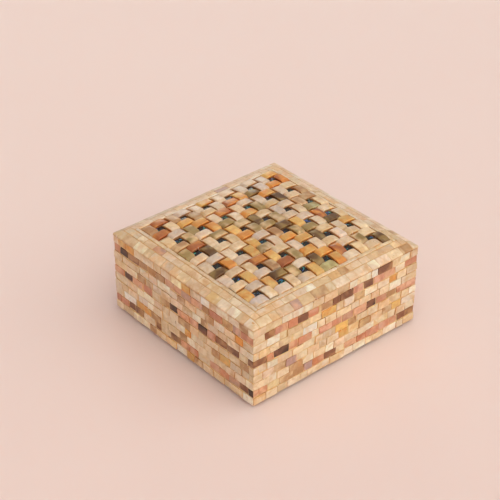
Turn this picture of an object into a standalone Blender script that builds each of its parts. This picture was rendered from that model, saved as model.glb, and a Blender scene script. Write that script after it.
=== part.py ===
"""Square lidded box clad in shell. Courses of small brick tiles run round the sides, and the lid swells like a
cushion, with a tiled border round a panel of crowned tiles that are laid as pinwheels round dark paua squares.
Metres, +Z up, origin under the middle of the box, front towards -Y."""

import math
import random

import bmesh
import bpy
from mathutils import Vector
from mathutils.geometry import delaunay_2d_cdt

# Outside of the box
BOX_WIDTH = 0.152
FOOT_STEP = 0.0009  # the wooden base stands this far below the lowest tiles
COURSE_PITCH = 0.00611  # height of one course of side tiles with its joint
BODY_COURSES = 7
LID_COURSES = 3
ROSE_COURSES = (2, 5, 9)  # rose bands, counted from the top

# Tiles
TILE_THICKNESS = 0.0014
TILE_LENGTH = 0.0101
JOINT = 0.0003  # joint between neighbouring tiles, and the glue line behind them
GLUE = 0.0004  # glue line under the tiles of the lid
TILE_TILT = 0.00018  # how far the ends of a tile stand in or out of its course
BORDER_ROW = 0.0059  # width of each of the two tiled rows round the lid
SLIP_WIDTH = 0.0013  # narrow slips between the border and the woven panel
SLIP_LENGTH = 0.0182
SLIP_PROUD = 0.0005  # how far the slips stand above the tiles of the border

# Wooden body and lid
WALL = 0.006
FLOOR = 0.005
LIP_HEIGHT = 0.004  # tongue of the body's wall that stands up inside the lid
LIP_CLEARANCE = 0.0003
LID_WALL = 0.003
LID_HOLLOW = 0.012

# Cushion shape of the lid, measured up from its outer edge
PILLOW_RISE = 0.0059  # slow rise towards the middle
PILLOW_POWER = 2.2
EDGE_RISE = 0.0024  # quick rise over the border
EDGE_REACH = 0.005
CORNER_POWER = 3

# Woven panel
PINWHEELS = 6  # repeats along each side of the panel
CROWN_SHARE = 0.365  # width of a crowned tile as a share of its pinwheel
GROOVE_DEPTH = 0.0003  # groove floor below the lid's skin
PLATE_THICKNESS = 0.0004
BED_THICKNESS = 0.0003  # sheet that carries the paua squares
PAUA_DEPTH = 0.0007  # face of the paua squares below the lid's skin
CROWN_HEIGHT = 0.0014  # top of a crowned tile above the lid's skin
CROWN_SPREAD = 0.0002
CROWN_SHOULDER = 0.3  # where the flat of a crown starts, as a share of the tile's length
END_HEIGHT = 0.0002  # ends of a crowned tile above the groove floor

SEED = 7

HALF = BOX_WIDTH / 2
COURSES = BODY_COURSES + LID_COURSES
EDGE_Z = FOOT_STEP + COURSES * COURSE_PITCH + TILE_THICKNESS
SEAM_Z = FOOT_STEP + BODY_COURSES * COURSE_PITCH
CORE_HALF = HALF - TILE_THICKNESS - JOINT
INNER_ROW_START = BORDER_ROW + JOINT
SLIP_START = INNER_ROW_START + BORDER_ROW + JOINT
PANEL_HALF = HALF - SLIP_START - SLIP_WIDTH - JOINT
REPEAT = 2 * PANEL_HALF / PINWHEELS
CUTS = (0, CROWN_SHARE * REPEAT, (1 - CROWN_SHARE) * REPEAT, REPEAT)


def shell_material(name, colour, roughness):
    """A plain finish with the part's colour."""
    material = bpy.data.materials.new(name)
    material.use_nodes = True
    shader = material.node_tree.nodes["Principled BSDF"]
    shader.inputs["Base Color"].default_value = (*colour, 1)
    shader.inputs["Roughness"].default_value = roughness
    shader.inputs["Metallic"].default_value = 0
    material.diffuse_color = (*colour, 1)
    return material


def add_object(name, bm, material):
    """Turns a closed bmesh into a named object with its faces pointing out."""
    bmesh.ops.recalc_face_normals(bm, faces=bm.faces)
    mesh = bpy.data.meshes.new(name)
    bm.to_mesh(mesh)
    bm.free()
    mesh.materials.append(material)
    placed = bpy.data.objects.new(name, mesh)
    bpy.context.scene.collection.objects.link(placed)
    return placed


def rise(inward):
    """Height gained at a distance in from the edge, straight across the first row of tiles."""
    first = INNER_ROW_START - JOINT / 2
    if inward < first:
        return rise(first) * inward / first
    slow = 1 - (1 - inward / HALF) ** PILLOW_POWER
    quick = 1 - math.exp(-inward / EDGE_REACH)
    return PILLOW_RISE * slow + EDGE_RISE * quick


def pillow(x, y):
    """Height of the lid's skin above its outer edge. A soft minimum of the distances in from the edges rounds
    the corners of the cushion."""
    in_x = HALF - abs(x)
    in_y = HALF - abs(y)
    if min(in_x, in_y) < 1e-9:
        return 0.0
    return rise((in_x**-CORNER_POWER + in_y**-CORNER_POWER) ** (-1 / CORNER_POWER))


def skin(x, y, depth=0.0):
    """A point at a depth below the lid's skin."""
    return Vector((x, y, EDGE_Z + pillow(x, y) - depth))


def turned(x, y, quarters):
    """Plan point turned about the middle of the box by some quarter turns."""
    for _ in range(quarters):
        x, y = -y, x
    return x, y


def joints_along(half_length, tile_length, rng, offset=0.0):
    """Positions of the joints inside a row, cut a little unevenly."""
    count = max(2, round(2 * half_length / tile_length))
    pitch = 2 * half_length / count
    return [-half_length + (k + offset + rng.uniform(-0.12, 0.12)) * pitch for k in range(1, count)]


def ring_faces(bm, lower, upper):
    """Joins two loops of equal length with quads."""
    count = len(lower)
    for k in range(count):
        following = (k + 1) % count
        bm.faces.new((lower[k], lower[following], upper[following], upper[k]))


def square(bm, half, z):
    """Four corner vertices of a level square."""
    corners = ((-half, -half), (half, -half), (half, half), (-half, half))
    return [bm.verts.new((x, y, z)) for x, y in corners]


def box_body(material):
    """Open wooden tray: floor, four walls, and a tongue inside the wall that keeps the lid in place."""
    shoulder = SEAM_Z - JOINT
    lip_half = CORE_HALF - LID_WALL - LIP_CLEARANCE
    inner_half = CORE_HALF - WALL
    bm = bmesh.new()
    rings = [
        square(bm, CORE_HALF, 0),
        square(bm, CORE_HALF, shoulder),
        square(bm, lip_half, shoulder),
        square(bm, lip_half, shoulder + LIP_HEIGHT),
        square(bm, inner_half, shoulder + LIP_HEIGHT),
        square(bm, inner_half, FLOOR),
    ]
    bm.faces.new(rings[0])
    for lower, upper in zip(rings, rings[1:]):
        ring_faces(bm, lower, upper)
    bm.faces.new(rings[-1])
    return add_object("box_body", bm, material)


def lid_lines():
    """Grid lines across the lid that follow its rows and pinwheels, so that the wood and what lies on it bend
    at the same places."""
    rows = [CORE_HALF, HALF - INNER_ROW_START + JOINT / 2, HALF - SLIP_START + JOINT / 2]
    panel = [PANEL_HALF - k * REPEAT for k in range(PINWHEELS + 1)]
    return [-v for v in rows] + panel[::-1] + rows[::-1]


def lid_wood(material):
    """Wooden lid: a cushion-shaped board over a hollow with thin walls, which drop round the body's tongue."""
    lines = lid_lines()
    last = len(lines) - 1
    hollow_half = CORE_HALF - LID_WALL
    bm = bmesh.new()
    top = [[bm.verts.new(skin(x, y, TILE_THICKNESS + GLUE)) for x in lines] for y in lines]
    for lower, upper in zip(top, top[1:]):
        for k in range(last):
            bm.faces.new((lower[k], lower[k + 1], upper[k + 1], upper[k]))
    foot = square(bm, CORE_HALF, SEAM_Z)
    edges = [
        top[0],
        [row[last] for row in top],
        top[last][::-1],
        [row[0] for row in top][::-1],
    ]
    for k, edge in enumerate(edges):
        bm.faces.new([foot[(k + 1) % 4], foot[k], *edge])
    rings = [foot, square(bm, hollow_half, SEAM_Z), square(bm, hollow_half, SEAM_Z + LID_HOLLOW)]
    for lower, upper in zip(rings, rings[1:]):
        ring_faces(bm, lower, upper)
    bm.faces.new(rings[-1])
    return add_object("lid_wood", bm, material)


def side_course(name, course, rng, material):
    """One course of shell tiles round the box: a ring whose face is broken at each joint, because every tile is
    laid at its own slight tilt. The top course is cut to the lid's slope."""
    low = FOOT_STEP + course * COURSE_PITCH
    high = low + COURSE_PITCH - JOINT
    inner_half = HALF - TILE_THICKNESS
    lift = pillow(inner_half, inner_half) if course == COURSES - 1 else 0.0
    offset = rng.choice((-0.25, 0.25))
    plan = []
    for quarters in range(4):
        joints = joints_along(HALF, TILE_LENGTH, rng, offset)
        face = [(-HALF, -HALF)] + [(along, rng.uniform(0, TILE_TILT) - HALF) for along in joints]
        plan.append([turned(*point, quarters) for point in face])
    bm = bmesh.new()
    rims = []
    for z, inner_z in ((low, low), (high, high + lift)):
        outer = [[bm.verts.new((*point, z)) for point in face] for face in plan]
        inner = square(bm, inner_half, inner_z)
        for k in range(4):
            following = (k + 1) % 4
            bm.faces.new([*outer[k], outer[following][0], inner[following], inner[k]])
        rims.append((sum(outer, []), inner))
    for lower, upper in zip(*rims):
        ring_faces(bm, lower, upper)
    return add_object(name, bm, material)


def border_row(name, start, width, length, proud, rng, material):
    """A row of tiles that lies round the lid and follows its slope, standing proud of its skin or level with it."""
    outer_half = HALF - start
    inner_half = outer_half - width
    sections = []
    bm = bmesh.new()
    for quarters in range(4):
        for along in [-outer_half, *joints_along(inner_half, length, rng)]:
            sink = rng.uniform(0, TILE_TILT) - proud
            outer = turned(along, -outer_half, quarters)
            inner = turned(max(along, -inner_half), -inner_half, quarters)
            points = (
                skin(*outer, TILE_THICKNESS),
                skin(*inner, TILE_THICKNESS),
                skin(*inner, sink),
                skin(*outer, sink),
            )
            sections.append([bm.verts.new(point) for point in points])
    for k, section in enumerate(sections):
        ring_faces(bm, section, sections[(k + 1) % len(sections)])
    return add_object(name, bm, material)


def panel_outline():
    """Plan points round the panel, one at each end of each pinwheel."""
    steps = [-PANEL_HALF + k * REPEAT for k in range(PINWHEELS)]
    points = [(v, -PANEL_HALF) for v in steps]
    points += [(PANEL_HALF, v) for v in steps]
    points += [(-v, PANEL_HALF) for v in steps]
    points += [(-PANEL_HALF, -v) for v in steps]
    return points


def cut_box(corner, left, low, right, high, inset):
    """Plan rectangle (x0, y0, x1, y1) between some of the cuts of a pinwheel, drawn in by inset."""
    return (
        corner[0] + CUTS[left] + inset,
        corner[1] + CUTS[low] + inset,
        corner[0] + CUTS[right] - inset,
        corner[1] + CUTS[high] - inset,
    )


def pinwheel_corners():
    """Lower left corner of each pinwheel of the panel."""
    steps = [-PANEL_HALF + k * REPEAT for k in range(PINWHEELS)]
    return [(x, y) for y in steps for x in steps]


def pinwheel_tiles(corner):
    """Footprints of the four crowned tiles that turn round a paua square: left, top, right and bottom."""
    inset = JOINT / 2
    places = ((0, 1, 1, 3), (1, 2, 3, 3), (2, 0, 3, 2), (0, 0, 2, 1))
    return [cut_box(corner, *place, inset) for place in places]


def paua_square(corner, inset):
    """Footprint of the square in the middle of a pinwheel."""
    return cut_box(corner, 1, 1, 2, 2, inset)


def rectangle_points(box):
    """Corners of a plan rectangle."""
    x0, y0, x1, y1 = box
    return [(x0, y0), (x1, y0), (x1, y1), (x0, y1)]


def pierced_sheet(bm, boxes, depth):
    """Triangulates the panel at a depth below the skin, leaving the given rectangles open. Gives the vertices
    round the sheet and round each rectangle."""
    loops = [panel_outline(), *[rectangle_points(box) for box in boxes]]
    points = [point for loop in loops for point in loop]
    edges = []
    starts = []
    for loop in loops:
        first = starts[-1][1] if starts else 0
        starts.append((first, first + len(loop)))
        edges += [(first + k, first + (k + 1) % len(loop)) for k in range(len(loop))]
    flat, _, faces, origins, _, _ = delaunay_2d_cdt([Vector(p) for p in points], edges, [], 0, 1e-9)
    place = {old: new for new, olds in enumerate(origins) for old in olds}
    verts = [bm.verts.new(skin(p.x, p.y, depth)) for p in flat]
    for face in faces:
        middle = sum((flat[k] for k in face), Vector((0, 0))) / len(face)
        if not any(x0 < middle.x < x1 and y0 < middle.y < y1 for x0, y0, x1, y1 in boxes):
            bm.faces.new([verts[k] for k in face])
    rims = [[verts[place[k]] for k in range(first, last)] for first, last in starts]
    return rims[0], rims[1:]


def crowned_top(bm, base, box, crown):
    """A crowned tile on its footprint: walls, and a top that rises over two shoulders along its length."""
    x0, y0, x1, y1 = box
    lengthwise = x1 - x0 > y1 - y0
    corners = base if lengthwise else [base[1], base[2], base[3], base[0]]
    near, far = (corners[0], corners[3]), (corners[1], corners[2])
    heights = (END_HEIGHT - GROOVE_DEPTH, crown, crown, END_HEIGHT - GROOVE_DEPTH)
    shares = (0, CROWN_SHOULDER, 1 - CROWN_SHOULDER, 1)
    sections = []
    for share, height in zip(shares, heights):
        section = []
        for start, end in zip(near, far):
            flat = start.co.lerp(end.co, share)
            section.append(bm.verts.new(skin(flat.x, flat.y, -height)))
        sections.append(section)
    for (a, b), (c, d) in zip(sections, sections[1:]):
        bm.faces.new((a, c, d, b))
    bm.faces.new([near[0], far[0], *[section[0] for section in sections[::-1]]])
    bm.faces.new([far[1], near[1], *[section[1] for section in sections]])
    bm.faces.new([near[1], near[0], *sections[0]])
    bm.faces.new([far[0], far[1], *sections[-1][::-1]])


def woven_tiles(material):
    """The crowned tiles of the whole panel, joined by the thin floor of the grooves between them, with an
    opening over each paua square."""
    rng = random.Random(SEED)
    corners = pinwheel_corners()
    holes = [paua_square(corner, JOINT / 2) for corner in corners]
    tiles = [box for corner in corners for box in pinwheel_tiles(corner)]
    bm = bmesh.new()
    top_rim, top_loops = pierced_sheet(bm, holes + tiles, GROOVE_DEPTH)
    under_rim, under_loops = pierced_sheet(bm, holes, GROOVE_DEPTH + PLATE_THICKNESS)
    ring_faces(bm, under_rim, top_rim)
    for lower, upper in zip(under_loops, top_loops):
        ring_faces(bm, lower, upper)
    for box, base in zip(tiles, top_loops[len(holes) :]):
        crowned_top(bm, base, box, CROWN_HEIGHT + rng.uniform(-CROWN_SPREAD, CROWN_SPREAD))
    return add_object("woven_tiles", bm, material)


def paua_squares(material):
    """Dark squares that show through the woven tiles, standing on the thin sheet that they are laid on."""
    corners = pinwheel_corners()
    pads = [paua_square(corner, JOINT / 2 + JOINT) for corner in corners]
    bm = bmesh.new()
    top_rim, loops = pierced_sheet(bm, pads, TILE_THICKNESS - BED_THICKNESS)
    for loop in loops:
        raised = [bm.verts.new(skin(v.co.x, v.co.y, PAUA_DEPTH)) for v in loop]
        ring_faces(bm, loop, raised)
        bm.faces.new(raised)
    steps = [-PANEL_HALF + k * REPEAT for k in range(PINWHEELS + 1)]
    under = [[bm.verts.new(skin(x, y, TILE_THICKNESS)) for x in steps] for y in steps]
    for lower, upper in zip(under, under[1:]):
        for k in range(PINWHEELS):
            bm.faces.new((lower[k], lower[k + 1], upper[k + 1], upper[k]))
    under_rim = [
        *under[0][:-1],
        *[row[-1] for row in under[:-1]],
        *under[-1][:0:-1],
        *[row[0] for row in under[:0:-1]],
    ]
    ring_faces(bm, under_rim, top_rim)
    return add_object("paua_squares", bm, material)


def clad_sides(cream, rose):
    """Courses of tiles round the body and the lid. The second, fifth and ninth from the top are rose bands."""
    rng = random.Random(SEED + 1)
    for course in range(COURSES):
        owner, number = ("body", course + 1) if course < BODY_COURSES else ("lid", course + 1 - BODY_COURSES)
        material = rose if COURSES - course in ROSE_COURSES else cream
        side_course(f"{owner}_course_{number}", course, rng, material)


def clad_border(cream):
    """Two rows of tiles and a row of narrow slips round the top of the lid."""
    rng = random.Random(SEED + 2)
    border_row("border_outer", 0, BORDER_ROW, TILE_LENGTH, 0, rng, cream)
    border_row("border_inner", INNER_ROW_START, BORDER_ROW, TILE_LENGTH, 0, rng, cream)
    border_row("border_slips", SLIP_START, SLIP_WIDTH, SLIP_LENGTH, SLIP_PROUD, rng, cream)


def main():
    for old in list(bpy.data.objects):
        bpy.data.objects.remove(old)
    wood = shell_material("wood", (0.16, 0.09, 0.05), 0.6)
    cream = shell_material("cream_shell", (0.72, 0.55, 0.36), 0.3)
    rose = shell_material("rose_shell", (0.45, 0.22, 0.15), 0.3)
    amber = shell_material("amber_shell", (0.66, 0.45, 0.25), 0.28)
    paua = shell_material("paua_shell", (0.03, 0.05, 0.06), 0.2)
    box_body(wood)
    lid_wood(wood)
    clad_sides(cream, rose)
    clad_border(cream)
    woven_tiles(amber)
    paua_squares(paua)


main()
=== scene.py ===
"""Looks of a square box clad in shell tiles, whose cushion-shaped lid has a woven panel of crowned tiles
round dark paua squares. Metres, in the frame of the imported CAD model."""

import math
from dataclasses import dataclass

import bpy
import numpy as np
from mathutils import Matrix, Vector


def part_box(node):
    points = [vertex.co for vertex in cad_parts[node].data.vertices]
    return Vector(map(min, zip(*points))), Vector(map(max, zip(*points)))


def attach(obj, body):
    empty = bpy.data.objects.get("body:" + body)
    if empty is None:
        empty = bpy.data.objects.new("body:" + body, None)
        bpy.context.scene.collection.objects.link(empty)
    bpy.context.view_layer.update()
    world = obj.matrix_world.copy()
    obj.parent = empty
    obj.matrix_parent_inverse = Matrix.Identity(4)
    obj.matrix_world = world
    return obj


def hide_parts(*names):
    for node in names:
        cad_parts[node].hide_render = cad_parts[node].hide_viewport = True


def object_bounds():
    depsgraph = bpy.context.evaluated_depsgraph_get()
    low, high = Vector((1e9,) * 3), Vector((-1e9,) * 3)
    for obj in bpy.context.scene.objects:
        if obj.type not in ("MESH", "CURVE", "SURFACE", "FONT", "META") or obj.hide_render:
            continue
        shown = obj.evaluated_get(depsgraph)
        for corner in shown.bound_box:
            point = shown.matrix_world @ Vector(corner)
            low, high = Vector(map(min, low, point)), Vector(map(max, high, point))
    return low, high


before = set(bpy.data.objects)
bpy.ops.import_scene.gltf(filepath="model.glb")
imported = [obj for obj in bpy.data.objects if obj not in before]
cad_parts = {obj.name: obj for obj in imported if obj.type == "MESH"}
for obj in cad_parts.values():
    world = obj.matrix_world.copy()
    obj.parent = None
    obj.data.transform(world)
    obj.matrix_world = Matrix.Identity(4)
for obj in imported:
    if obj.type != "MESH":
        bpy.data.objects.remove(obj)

bl_info = {
    "name": "Shell box",
    "version": (1, 0, 0),
    "blender": (4, 5, 0),
    "location": "3D View > Sidebar > Shell box",
    "description": "Lays the shell tiles, the resin and the wood of a lidded box over its CAD model",
    "category": "Add Mesh",
}

MM = 0.001
SIDES = 4
CAD_LOW, CAD_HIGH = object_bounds()
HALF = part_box("border_outer")[1][0]
WOOD_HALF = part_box("lid_wood")[1][0]
SEAM_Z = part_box("lid_wood")[0][2]
BORDER_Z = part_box("border_outer")[0][2]
INNER_ROW_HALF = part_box("border_inner")[1][0]
SLIP_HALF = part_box("border_slips")[1][0]
PANEL_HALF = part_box("woven_tiles")[1][0]
BODY_COURSES = [f"body_course_{k}" for k in range(1, 8)]
LID_COURSES = [f"lid_course_{k}" for k in range(1, 4)]
ROSE_BANDS = ("body_course_2", "body_course_6", "lid_course_2")
NO_CAPS = np.empty((0, 4), int)

# Places and clearances
EDGE_Z = BORDER_Z + 0.0014
CLEARANCE = 0.0001
HALF_GAP = 0.00015
SEAM_GAP = 0.0002
TOP_GAP = 0.00001
ROW_WIDTH = 0.0059
SLIP_OVERHANG = 0.00075
BORDER_THICKNESS = 0.00138
PAUA_THICKNESS = 0.0013
SIDE_RESIN_DEPTH = 0.00085
BORDER_RESIN_DEPTH = 0.00024
BED_DEPTH = 0.00145
BED_BOTTOM = 0.0016
POCKET_DEPTH = 0.0012
POCKET_BOTTOM = 0.0014

# Stage
FLOOR_HALF = 3
TARGET = Vector((-0.0312, 0.0133, 0.0330))
SKY_COLOUR = (1.0, 0.905, 0.93, 1)
LIGHT_COLOUR = (0.985, 1.015, 0.92)

# How worn and uneven the tiles are
RIM_STEPS = (0.0, 0.3, 1.0, 3.0)
RIM_WIDTH = 0.0003
CORNER_REACH = 0.0006
MOST_STRAY = 0.0004
MOST_SUNK = 0.8 * MM
CUT_STRAY = 0.23
SHORTEST_END = 0.42
TILT = 0.008
SIDE_ENDS = (0.0003, 0.0003, None, None)
SIDE_UNEVEN = 0.00024
BORDER_UNEVEN = 0.00004
MITRE_GAP = (0.00012, 0.00045)
PANEL_STRAY = 0.00007
PANEL_UNEVEN = 0.00005
CROWN_UNEVEN = 0.00008
PAUA_STRAY = 0.00005
PAUA_UNEVEN = 0.00004
END_EDGE = 0.00016
PAUA_EDGE = 0.00015
CROSS_DROP = 0.00012

# Each colour of shell, with the colour of the clouds in it
CLOUDS = dict(
    ivory="blush", cream="sand", blush="peach", peach="cream", pearl="blush", sand="cream",
    tan="sand", honey="amber", amber="honey", rust="amber", mauve="rose", rose="terracotta",
    terracotta="rose", brown="tan", umber="brown", olive="sand", bronze="olive", sage="olive",
)
# How often each colour turns up in a kind of row
CREAM_ROW = dict(cream=44, blush=12, peach=9, ivory=25, sand=9, honey=4, tan=8, amber=1, mauve=2, brown=2)
ROSE_ROW = dict(rose=24, terracotta=17, mauve=12, brown=27, umber=10, rust=2, tan=10, cream=10)
BORDER_ROW = dict(cream=30, ivory=4, blush=30, peach=24, sand=6, honey=1, tan=3, mauve=2)
SLIP_ROW = dict(cream=85, blush=15)
PANEL = dict(pearl=33, cream=10, sand=10, honey=10, amber=14, tan=8, olive=8, sage=2, bronze=8, rust=5)


# Properties, named as bpy.props names its own


def Number(name, default, description):
    """A plain number."""
    return bpy.props.FloatProperty(name=name, default=default, description=description)


def Length(name, default_mm, description):
    """A size that is shown as a length."""
    return bpy.props.FloatProperty(
        name=name, default=default_mm * MM, description=description, subtype="DISTANCE", unit="LENGTH", min=0
    )


def Colour(name, colour, description):
    """A colour given as the screen shows it."""
    return bpy.props.FloatVectorProperty(
        name=name, default=colour, description=description, subtype="COLOR_GAMMA", size=3, min=0.0, max=1.0
    )


def Angle(name, degrees, description):
    """An angle that is given in degrees."""
    return bpy.props.FloatProperty(
        name=name, default=math.radians(degrees), description=description, subtype="ANGLE", unit="ROTATION"
    )


class TileSizes(bpy.types.PropertyGroup):
    """Sizes of the flat tiles of the sides and the border."""

    length: Length("Tile length", 10.1, "Length of a brick tile")
    joint: Length("Joint", 0.14, "Width of the resin joint between tiles")
    edge: Length("Edge", 0.18, "Radius of the worn edge of a tile")
    lid_edge: Length("Lid edge", 0.6, "Radius of the lid's worn outer edge")
    depth: Length("Depth", 1.25, "Depth of a tile in the resin")
    step: Length("Step", 1.1, "How far a tile of the sides may lie below its neighbours")
    border_step: Length("Border step", 0.14, "How far a tile of the border may lie below them")
    band_depth: Length("Band depth", 0.35, "How far back the rose bands lie")
    wander: Length("Wander", 0.36, "How far the joints stray from straight lines")
    slip_length: Length("Slip length", 18.2, "Length of the slips round the panel")
    slip_width: Length("Slip width", 2.55, "Width of the slips round the panel")
    slip_proud: Length("Slip proud", 0.32, "How far the slips stand above the border")


class LidShape(bpy.types.PropertyGroup):
    """Cushion shape of the lid, as its CAD model has it."""

    slow_rise: Length("Slow rise", 5.9, "Rise towards the middle")
    slow_power: Number("Slow power", 2.2, "How soon the rise levels off")
    quick_rise: Length("Quick rise", 2.4, "Rise over the border")
    quick_reach: Length("Quick reach", 5.0, "How far in the quick rise reaches")
    corner_power: Number("Corner power", 3.0, "Sharpness of the corners")
    corner_radius: Length("Corner radius", 1.3, "Radius of the worn corners at the lid's top")
    upright_radius: Length("Upright radius", 0.5, "Radius of the upright edges of the box")
    worn_height: Length("Worn height", 9.0, "How far down the lid its corners are worn")


class WovenPanel(bpy.types.PropertyGroup):
    """Sizes of the crowned tiles and of the paua squares between them."""

    repeats: bpy.props.IntProperty(name="Pinwheels", default=6, description="Pinwheels to a side", min=1)
    share: Number("Tile share", 0.348, "Width of a crowned tile as a share of its pinwheel")
    joint: Length("Joint", 0.12, "Gap between crowned tiles")
    crown: Length("Crown", 1.35, "Height of a tile's crown above the lid's skin")
    end_height: Length("End height", 0.4, "How far below the skin the ends of a tile lie")
    edge: Length("Edge", 0.45, "Radius of the long edges")
    floor_depth: Length("Floor depth", 0.5, "Depth of the resin between the tiles below the skin")
    paua_depth: Length("Paua depth", 0.62, "Depth of the paua squares below the skin")


class ShellColours(bpy.types.PropertyGroup):
    """Colours of the shell, the resin and the wood."""

    ivory: Colour("Ivory", (0.93, 0.87, 0.77), "Palest tiles")
    cream: Colour("Cream", (0.89, 0.79, 0.67), "Most of the tiles")
    peach: Colour("Peach", (0.86, 0.70, 0.54), "Warm border tiles")
    blush: Colour("Blush", (0.88, 0.76, 0.64), "Pinkish cream tiles")
    pearl: Colour("Pearl", (0.83, 0.735, 0.65), "Greyish pink panel tiles")
    sand: Colour("Sand", (0.84, 0.71, 0.55), "Sandy tiles")
    tan: Colour("Tan", (0.70, 0.52, 0.35), "Tan tiles")
    honey: Colour("Honey", (0.85, 0.68, 0.41), "Yellow tiles")
    amber: Colour("Amber", (0.84, 0.56, 0.27), "Orange tiles")
    rust: Colour("Rust", (0.67, 0.40, 0.24), "Red-brown tiles")
    mauve: Colour("Mauve", (0.73, 0.58, 0.52), "Greyish pink tiles")
    rose: Colour("Rose", (0.86, 0.65, 0.52), "Pink band tiles")
    terracotta: Colour("Terracotta", (0.77, 0.51, 0.39), "Red band tiles")
    brown: Colour("Brown", (0.51, 0.32, 0.22), "Brown band tiles")
    umber: Colour("Umber", (0.28, 0.17, 0.12), "Darkest tiles")
    olive: Colour("Olive", (0.62, 0.51, 0.31), "Olive panel tiles")
    sage: Colour("Sage", (0.72, 0.68, 0.50), "Greenish panel tiles")
    bronze: Colour("Bronze", (0.41, 0.28, 0.15), "Brown panel tiles")
    resin: Colour("Resin", (0.88, 0.72, 0.51), "Resin in the side joints")
    pale_resin: Colour("Pale resin", (0.83, 0.62, 0.40), "Resin in the border joints")
    # Painted shade: darker than the joint resin, partly its own colour and partly the shade of the deep gaps
    # between crowned tiles
    shaded_deep_resin: Colour("Deep resin", (0.62, 0.38, 0.19), "Resin at the bottom of the panel")
    wood: Colour("Wood", (0.33, 0.20, 0.13), "Wood of the body and the lid")
    grain: Colour("Grain", (0.20, 0.11, 0.07), "Dark grain of the wood")


class Studio(bpy.types.PropertyGroup):
    """Floor, lights and camera."""

    floor: Colour("Floor", (0.938, 0.842, 0.812), "Colour of the floor")
    sky: Number("Sky", 0.41, "Brightness of the soft light all round")
    overhead: Number("Overhead", 0.36, "Strength of the broad light above")
    glint: Number("Glint", 0.12, "Strength of the small light")
    key: Number("Key", 2.65, "Strength of the broad light on one side")
    key_azimuth: Angle("Key azimuth", 95, "Where the key light stands")
    key_elevation: Angle("Key elevation", 25, "How high the key light stands")
    azimuth: Angle("Camera azimuth", 49.37, "Where the camera stands")
    elevation: Angle("Camera elevation", 33.48, "How high the camera stands")
    distance: Length("Camera distance", 1085.6, "From the camera to its target")
    lens: Number("Lens", 107.41, "Focal length in millimetres")


# Shape


def linear(colour):
    """Linear light of a colour given as the screen shows it."""
    c = np.asarray(colour, float)
    return np.where(c <= 0.04045, c / 12.92, ((c + 0.055) / 1.055) ** 2.4)


def rise(inward):
    """Height gained at a distance in from the lid's edge: a slow power curve plus a quick exponential one,
    with a straight line across the outer row of tiles."""
    lid = bpy.context.scene.lid_shape

    def curve(d):
        slow = 1 - np.clip(1 - d / HALF, 0, 1) ** lid.slow_power
        return lid.slow_rise * slow + lid.quick_rise * (1 - np.exp(-d / lid.quick_reach))

    first = HALF - INNER_ROW_HALF - HALF_GAP
    return np.where(inward < first, curve(first) * inward / first, curve(inward))


def pillow(x, y):
    """Height of the lid's skin above its outer edge: the rise at the soft minimum of the two distances in
    from the edges."""
    power = bpy.context.scene.lid_shape.corner_power
    in_x = np.maximum(HALF - np.abs(x), 1e-7)
    in_y = np.maximum(HALF - np.abs(y), 1e-7)
    return rise((in_x**-power + in_y**-power) ** (-1 / power))


def turned(x, y, quarters):
    """Plan points turned by quarter turns: x cos q - y sin q, x sin q + y cos q."""
    cos = np.array([1, 0, -1, 0])[quarters]
    sin = np.array([0, 1, 0, -1])[quarters]
    return x * cos - y * sin, x * sin + y * cos


def on_wall(along, up, height, quarters):
    """Points of a side: along it, up from the floor and a height out from its face. Two sides meet in a
    mitre, because along is kept within the half width at that height."""
    reach = HALF + height
    x, y = turned(np.clip(along, -reach, reach), -reach, quarters)
    return np.stack([x, y, np.broadcast_to(up, x.shape)], -1)


def on_lid(along, inward, height, quarters):
    """Points over the lid: along a side, inward from its edge and a height above the lid's skin."""
    x, y = turned(along, inward - HALF, quarters)
    return np.stack([x, y, EDGE_Z + pillow(x, y) + height], -1)


def worn_corners(points):
    """Rounds the upright edges. Near a corner, a square of half side m round the centre of the rounding
    becomes a circle of radius m, and the radius grows over the top of the lid."""
    lid = bpy.context.scene.lid_shape
    x, y, z = np.moveaxis(points, -1, 0)
    share = np.clip((z - (EDGE_Z - lid.worn_height)) / lid.worn_height, 0, 1)
    radius = lid.upright_radius + (lid.corner_radius - lid.upright_radius) * share**2
    a = np.abs(x) - (HALF - radius)
    b = np.abs(y) - (HALF - radius)
    inside = (a > 0) & (b > 0)
    scale = np.maximum(a, b) / np.maximum(np.hypot(a, b), 1e-9)
    new_x = np.where(inside, np.sign(x) * (HALF - radius + a * scale), x)
    new_y = np.where(inside, np.sign(y) * (HALF - radius + b * scale), y)
    return np.stack([new_x, new_y, z], -1)


@dataclass
class Tiles:
    """Like tiles as arrays, one tile a row: plan corners (n, 4, 2) in the order low low, high low, high high
    and low high, edge radii (n, 4) at low u, high u, low v and high v, the side they lie on, the level of the
    face and its tilt (n, 2), how far the corners are drawn in, and a colour name."""

    corners: np.ndarray
    radii: np.ndarray
    quarters: np.ndarray
    level: np.ndarray
    tilt: np.ndarray
    rounding: np.ndarray
    colours: np.ndarray

    @classmethod
    def joined(cls, batches):
        """All the tiles of several batches."""
        columns = zip(*[vars(batch).values() for batch in batches])
        return cls(*[np.concatenate(column) for column in columns])


def rectangles(low, high):
    """Corners (n, 4, 2) of rectangles from their low and high corners."""
    low_high = np.stack([low[:, 0], high[:, 1]], -1)
    high_low = np.stack([high[:, 0], low[:, 1]], -1)
    return np.stack([low, high_low, high, low_high], 1)


def picked(mix, count, rng):
    """Colour names drawn by their weights."""
    names = list(mix)
    weights = np.array([mix[name] for name in names], float)
    return np.array(names)[rng.choice(len(names), count, p=weights / weights.sum())]


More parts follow.
